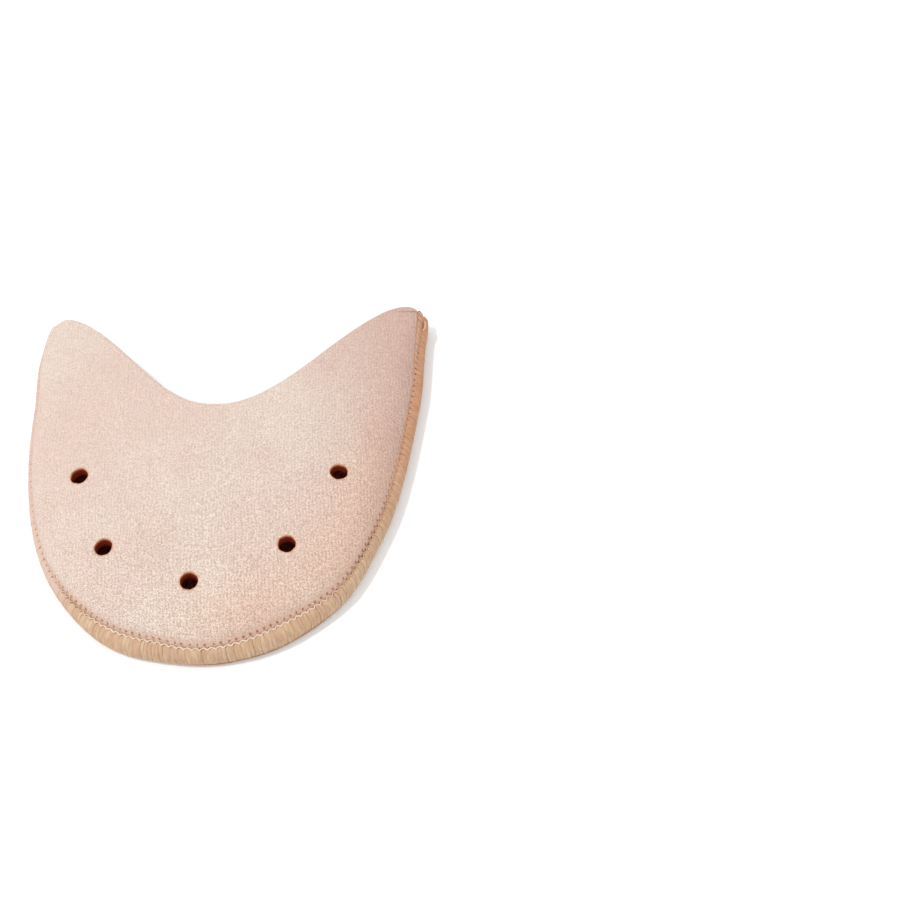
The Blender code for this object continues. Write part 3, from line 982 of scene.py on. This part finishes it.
def stitch_legs(material):
    """Two legs for each stitch. They part at the needle hole and lie side by side over the edge."""
    inset, z = leg_profile()
    lift = LEG_THICKNESS / 2
    rings = len(inset)
    holes = np.repeat(np.arange(STITCHES) + 0.5, 2) * STITCH_STEP
    hand = np.tile([-1.0, 1.0], STITCHES)
    strands = len(holes)
    spread = smooth_step((LEG_START - inset) / (0.9 * MM)) * 0.55 + 0.45
    spread[rings // 2:] = np.maximum(spread[rings // 2:], 0.75)
    slant = RANDOM.normal(0.0, 0.05 * MM, (strands, 1)) * np.linspace(-1, 1, rings)
    lengths = holes[:, None] + hand[:, None] * STITCH_STEP / 4 * spread + slant
    lengths += RANDOM.normal(0.0, 0.035 * MM, (strands, 1))
    lengths = np.clip(lengths, 0.15 * MM, STITCHED_LENGTH - 0.15 * MM)
    point, side, tangent = plan_frame(lengths)
    upper = np.arange(rings) < rings // 2
    moved = np.where(upper, wandered(inset, wander(lengths, "lip")), inset)
    on_fabric = fabric_top(moved, lengths)
    on_fabric += np.where(inset > LEG_START - 0.01 * MM, -0.30 * MM, 0.6 * lift)
    on_band = np.where(inset > BAND_REACH, 0.0, z)
    z = np.where(upper, np.maximum(on_band, on_fabric), z)
    centre = np.dstack([point - side * moved[..., None], z])
    step = np.gradient(np.dstack([moved, z]), axis=1)
    step /= np.linalg.norm(step, axis=2)[..., None]
    # The section's outward direction: across the leg's own way, in the section's plane
    outwards = np.dstack([-side * step[..., 1:], -step[..., :1]])
    centre = centre + outwards * RANDOM.normal(0.0, 0.02 * MM, (strands, 1))[..., None]
    width = LEG_WIDTH / 2 * (0.5 + 0.5 * smooth_step((LEG_START - inset) / (0.6 * MM)))
    width = width[None] * RANDOM.uniform(0.92, 1.12, (strands, 1))
    wide = np.dstack([tangent * width[..., None], np.zeros((strands, rings))])
    high = outwards * LEG_THICKNESS / 2
    made = tubes("edging_threads", centre, wide, high, material)
    own = RANDOM.uniform(0.0, 1.0, strands)
    set_attribute(made, "strand", np.repeat(own, rings * STRAND_SIDES))
    set_attribute(made, "share", np.repeat(lengths.ravel() / STITCHED_LENGTH, STRAND_SIDES))
    outer = 1.1 * MM
    inward = np.where(upper, np.clip((inset - outer) / (LEG_START - outer), 0.0, 1.0), 0.0)
    set_attribute(made, "inward", np.tile(np.repeat(inward, STRAND_SIDES), strands))
    return made


def single_thread(name, centre, radius, share, strand, material):
    """A closed round thread along a line, with the values that its material reads."""
    way_on = np.gradient(centre, axis=0)
    way_on /= np.linalg.norm(way_on, axis=1)[:, None]
    wide = np.cross(way_on, np.array([0.0, 0.0, 1.0]))
    wide /= np.linalg.norm(wide, axis=1)[:, None]
    high = np.cross(wide, way_on)
    count = len(centre)
    thick = np.broadcast_to(radius, (count,))[:, None]
    made = tubes(name, centre[None], (wide * thick)[None], (high * thick)[None], material)
    set_attribute(made, "strand", np.full(count * STRAND_SIDES, strand))
    set_attribute(made, "inward", np.zeros(count * STRAND_SIDES))
    set_attribute(made, "share", np.repeat(share, STRAND_SIDES))
    return made


def looper_thread(name, inset, z, material, phase=0.0, moved=True):
    """A wavy thread that ties the legs together along the edging's lip.

    moved is for the upper one, which follows the wandering seam and lies on the fabric.
    """
    count = STITCHES * 10 + 1
    lengths = np.linspace(0.3 * MM, STITCHED_LENGTH - 0.3 * MM, count)
    wave = math.tau * lengths / STITCH_STEP + phase
    drift = waves(lengths, 0 * lengths, 21, 6 * MM, 30 * MM)
    lateral = inset + LOOPER_SWING * np.sin(wave) * (1.0 + 0.25 * drift) + 0.06 * MM * drift
    height = z + 0.05 * MM * np.cos(wave * 2)
    if moved:
        plain = sewn_share(lengths)
        lateral = inset + (lateral - inset) * plain + 0.35 * MM * (1.0 - plain)
        lateral += wander(lengths, "lip")
        on_fabric = fabric_top(lateral, lengths) + LOOPER_RADIUS * plain + 0.02 * MM
        height = np.maximum(height, on_fabric)
    point, side, _ = plan_frame(lengths)
    centre = np.column_stack([point - side * lateral[:, None], height])
    uneven = waves(lengths, 0 * lengths, 33, 0.6 * MM, 2.5 * MM)
    radius = LOOPER_RADIUS * (1.0 + 0.15 * uneven)
    return single_thread(name, centre, radius, lengths / STITCHED_LENGTH, 0.5, material)


def loose_thread(name, start, finish, inset, z, radius, strand, material):
    """A thread that lies along the edging between two shares, with a little slack."""
    share = np.linspace(start, finish, 90)
    lengths = share * STITCHED_LENGTH
    sway = waves(lengths, 0 * lengths, int(start * 1000), 5 * MM, 14 * MM)
    sink = 0.3 * (finish - start)
    tuck = smooth_step((share - start) / sink) * smooth_step((finish - share) / sink)
    point, side, _ = plan_frame(lengths)
    inset = inset + (1.0 - tuck) * 0.35 * MM
    centre = np.column_stack([point - side * inset[:, None], z + 0.10 * MM * sway])
    return single_thread(name, centre, radius, share, strand, material)


def floor_object():
    bpy.ops.mesh.primitive_plane_add(size=PAPER_SIZE, location=(0.0, 0.0, 0.0))
    floor = bpy.context.object
    floor.name = "floor"
    s = Shader("floor_paper")
    grain = s.noise(s.scaled(PAPER_NOISE), detail=2.0)
    s.put(s.bsdf.inputs["Base Color"], s.mix(grain, PAPER, BRIGHT_PAPER))
    s.bsdf.inputs["Roughness"].default_value = 0.95
    s.bsdf.inputs["Specular IOR Level"].default_value = 0.1
    floor.data.materials.append(s.material)


def lights():
    world = bpy.data.worlds.new("studio")
    bpy.context.scene.world = world
    world.use_nodes = True
    background = world.node_tree.nodes["Background"]
    background.inputs["Color"].default_value = WORLD_COLOUR
    background.inputs["Strength"].default_value = WORLD_STRENGTH
    data = bpy.data.lights.new("key", "AREA")
    data.shape = "DISK"
    data.size = KEY_SIZE
    data.energy = KEY_POWER
    key = bpy.data.objects.new("key", data)
    bpy.context.scene.collection.objects.link(key)
    key.location = KEY_PLACE
    key.rotation_euler = (-Vector(KEY_PLACE)).to_track_quat("-Z", "Y").to_euler()


def camera():
    azimuth = math.radians(CAMERA_AZIMUTH)
    elevation = math.radians(CAMERA_ELEVATION)
    roll = math.radians(CAMERA_ROLL)
    back = Vector((
        math.sin(azimuth) * math.cos(elevation),
        -math.cos(azimuth) * math.cos(elevation),
        math.sin(elevation),
    ))
    level = Vector((math.cos(azimuth), math.sin(azimuth), 0.0))
    up = back.cross(level)
    right = math.cos(roll) * level + math.sin(roll) * up
    top = -math.sin(roll) * level + math.cos(roll) * up
    data = bpy.data.cameras.new("camera")
    data.sensor_width = SENSOR
    data.lens = FOCAL_PIXELS * SENSOR / PHOTO_SIDE
    data.clip_start = CLIP_START
    made = bpy.data.objects.new("camera", data)
    bpy.context.scene.collection.objects.link(made)
    turn = Matrix((right, top, back)).transposed().to_4x4()
    made.matrix_world = Matrix.Translation(LOOK_AT + back * CAMERA_DISTANCE) @ turn
    bpy.context.scene.camera = made


def build():
    camera()
    lights()
    floor_object()
    fabric = fabric_material("knit", **UPPER_KNIT, sewn=True)
    under = fabric_material("lower_knit", **LOWER_KNIT, sewn=False)
    tans = (ROSE, YELLOW, DEEP_TAN)
    dark_tans = (ROSE, TAN, DEEP_TAN)
    thread = thread_material("edging_thread_tan", TAN, tans, inner=SEAM_PINK)
    # Painted shade: the core, seen only between the strands, is a darker tan
    core = thread_material("edging_core_shade_tan", CORE_SHADE_TAN, dark_tans)
    thread_and_shadow = thread_material("low_thread_and_shadow_red", RUDDY_AND_SHADOW, dark_tans)
    wisp = thread_material("tail_thread_pale", WISP, (PALE_CREAM, PALE_CREAM, YELLOW))
    pale = thread_material("looper_thread", TAN, tans, bright=PALE_CREAM)

    columns = STITCHES * COLUMNS_PER_STITCH
    upper = panel_object("upper_panel", columns, upper_outside, upper_inside, fabric)
    cut_vents(upper)
    mark_panel(upper, upper_outside)
    columns = STITCHES * LOWER_COLUMNS_PER_STITCH
    lower = panel_object("lower_panel", columns, lower_outside, lower_inside, under)
    mark_panel(lower, lower_outside)
    core_band = band_object(core)
    legs = stitch_legs(thread)
    lip = BAND_HEIGHT + 0.04 * MM
    looper = looper_thread("upper_looper", LOOPER_LINE, lip, pale)
    under_looper = looper_thread(
        "lower_looper", BAND_REACH + 0.25 * MM, 0.22 * MM, thread, phase=math.pi, moved=False
    )
    # A real strand along the edging's lower edge, drawn dark ruddy as painted shadow under that edge
    low_thread_and_shadow = loose_thread(
        "low_thread_and_shadow", 0.45, 0.66, inset=0.26 * MM, z=0.80 * MM, radius=0.13 * MM, strand=0.2, material=thread_and_shadow
    )
    tail_z = lip - 0.02 * MM
    tail = loose_thread(
        "thread_tail", 0.972, 0.985, inset=0.62 * MM, z=tail_z, radius=0.22 * MM, strand=0.5, material=wisp
    )
    for piece in (upper, lower, core_band, legs, looper, under_looper, low_thread_and_shadow, tail):
        settle(piece)
    for piece, slot in (
        (upper, "knit_fabric"),
        (lower, "lower_fabric"),
        (core_band, "edging_thread"),
        (legs, "edging_thread"),
        (looper, "edging_thread"),
        (under_looper, "edging_thread"),
        (low_thread_and_shadow, "edging_thread"),
        (tail, "edging_thread"),
    ):
        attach(piece, "root")
    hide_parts("top_panel")
    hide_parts("bottom_panel")
    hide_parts("overlock_edging")
    bpy.context.scene.view_settings.view_transform = "Standard"


build()
